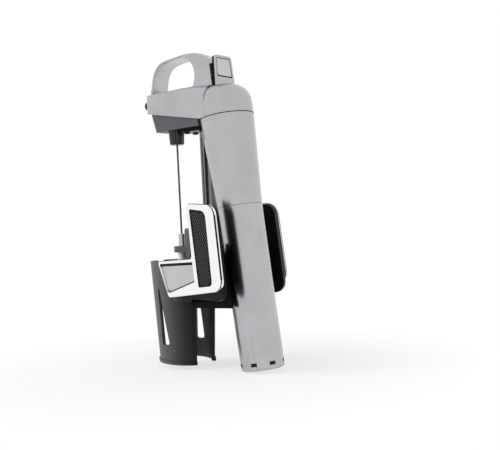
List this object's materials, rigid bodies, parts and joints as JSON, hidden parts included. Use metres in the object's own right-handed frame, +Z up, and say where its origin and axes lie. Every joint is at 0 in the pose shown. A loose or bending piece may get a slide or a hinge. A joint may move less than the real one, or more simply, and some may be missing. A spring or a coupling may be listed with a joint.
{
  "type": "wine preservation dispenser",
  "caption": "Bottle-neck clamp with squeeze wings and a sliding metal head that carries a needle, spout, trigger, strap handle and capsule cup.",
  "frame": {"origin": "on the needle's axis, at the plane where the bottle's lip stops", "axes": "+Z up along the needle, -Y towards the spout, +X to the right-hand wing seen from behind the spout"},
  "size_m": [0.0822, 0.1179, 0.2383],
  "materials": {
    "satin_silver": "satin anodised silver",
    "inlay_silver": "fine-blasted silver",
    "bright_chrome": "polished chrome",
    "black_nylon": "moulded black, fine texture",
    "black_cover": "moulded dark grey",
    "grey_nylon": "moulded grey, fine texture",
    "gloss_black": "moulded gloss black",
    "grip_rubber": "textured soft rubber",
    "soft_rubber": "plain black rubber",
    "steel": "stainless",
    "needle_steel": "dark coated needle steel",
    "rail_metal": "dark anodised",
    "anodised": "plain anodised",
    "brass": "turned brass",
    "white_acetal": "white acetal",
    "clear_silicone": "milky silicone",
    "capsule_steel": "drawn steel"
  },
  "bodies": {
    "clamp": {"clamp_carriage": "black_nylon", "needle_guide": "grey_nylon", "guide_tube": "steel", "guide_bush": "white_acetal", "guide_screws": "steel", "cheek_screws": "steel", "rail_brake": "steel", "hinge_pin_right": "steel", "hinge_pin_left": "steel"},
    "jaw_right": {"jaw_right": "black_nylon", "wing_frame_right": "bright_chrome", "grip_pad_right": "grip_rubber", "toe_plate_right": "inlay_silver", "neck_pad_right": "soft_rubber"},
    "jaw_left": {"jaw_left": "black_nylon", "wing_frame_left": "bright_chrome", "grip_pad_left": "grip_rubber", "toe_plate_left": "inlay_silver", "neck_pad_left": "soft_rubber"},
    "head": {"head_shell": "satin_silver", "under_cover": "black_cover", "upper_body": "satin_silver", "regulator_body": "anodised", "piercing_pin": "steel", "capsule_seal": "soft_rubber", "regulator_piston": "brass", "regulator_spring": "steel", "body_seal": "soft_rubber", "fluid_block": "white_acetal", "spout": "steel", "spout_ring": "soft_rubber", "needle_hub": "gloss_black", "needle": "needle_steel", "needle_seal": "clear_silicone", "trigger_pin": "steel", "valve_body": "brass", "valve_spring": "steel", "gas_tube": "steel", "rail": "rail_metal", "rail_screws": "steel"},
    "trigger": {"trigger": "satin_silver", "trigger_core": "black_nylon", "trigger_inlay": "inlay_silver"},
    "valve": {"valve_plunger": "brass"},
    "cup": {"capsule_cup": "satin_silver", "cup_cushion": "soft_rubber", "gas_capsule": "capsule_steel"}
  },
  "joints": [
    {"name": "head_slide", "type": "slide", "parent": "clamp", "child": "head", "axis": [0, 0, -1], "range_m": [0, 0.066]},
    {"name": "jaw_right_hinge", "type": "hinge", "parent": "clamp", "child": "jaw_right", "pos_m": [0.0125, 0.03, -0.015], "axis": [0, 0, 1], "range_deg": [0, 10], "stiffness_Nm_per_rad": 1, "springref_deg": -17.19},
    {"name": "jaw_left_hinge", "type": "hinge", "parent": "clamp", "child": "jaw_left", "pos_m": [-0.0125, 0.03, -0.015], "axis": [0, 0, -1], "range_deg": [0, 10], "stiffness_Nm_per_rad": 1, "springref_deg": -17.19},
    {"name": "trigger_pull", "type": "hinge", "parent": "head", "child": "trigger", "pos_m": [0, 0.04915, 0.12104], "axis": [1, 0, 0], "range_deg": [0, 3.5], "stiffness_Nm_per_rad": 0.8, "springref_deg": -5.73},
    {"name": "valve_push", "type": "slide", "parent": "head", "child": "valve", "axis": [0, 0, -1], "range_m": [0, 0.0006], "deforming": ["valve_spring"]},
    {"name": "cup_release", "type": "slide", "parent": "head", "child": "cup", "axis": [0, 0.1167, -0.9932], "range_m": [0, 0.1]}
  ],
  "couplings": [
    {"joint": "valve_push", "follows": "trigger_pull", "m_per_rad": 0.0098}
  ]
}
